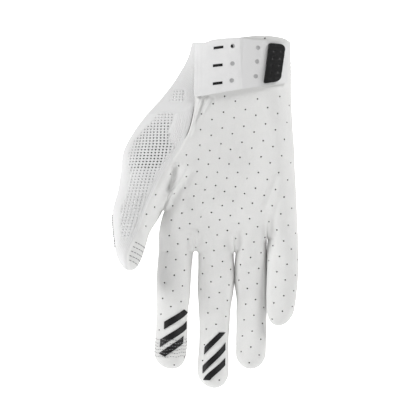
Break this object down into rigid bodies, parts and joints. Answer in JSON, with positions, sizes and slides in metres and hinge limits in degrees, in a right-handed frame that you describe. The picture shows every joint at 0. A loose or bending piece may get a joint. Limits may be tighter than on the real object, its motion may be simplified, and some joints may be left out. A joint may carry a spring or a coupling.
{
  "type": "motocross glove",
  "caption": "Slim right-hand riding glove, filled as worn: perforated leather palm, knit mesh back, wrist strap with a rubber tab, slanted grip bars on two fingertips.",
  "frame": {"origin": "centre of the wrist opening, at the cuff's mouth; the glove hangs below it as a hand at one's side would hold it", "axes": "+Z out of the wrist opening, fingers towards -Z; +Y towards the back of the hand, so the palm faces -Y; +X towards the little finger"},
  "size_m": [0.1243, 0.0573, 0.2343],
  "materials": {
    "white_leather": "soft suede",
    "white_knit": "open knit",
    "thumb_leather": "soft suede",
    "rib_knit": "ribbed stretch knit",
    "strap_fabric": "smooth laminate",
    "black_rubber": "dimpled matte",
    "black_silicone": "satin print"
  },
  "bodies": {
    "root": {"palm_panel": "white_leather", "back_panel": "white_knit", "thumb_panel": "thumb_leather", "wrist_gusset": "rib_knit", "wrist_strap": "strap_fabric", "pull_tab": "black_rubber", "index_grip_1": "black_silicone", "index_grip_2": "black_silicone", "index_grip_3": "black_silicone", "middle_grip_1": "black_silicone", "middle_grip_2": "black_silicone", "middle_grip_3": "black_silicone"}
  },
  "joints": []
}
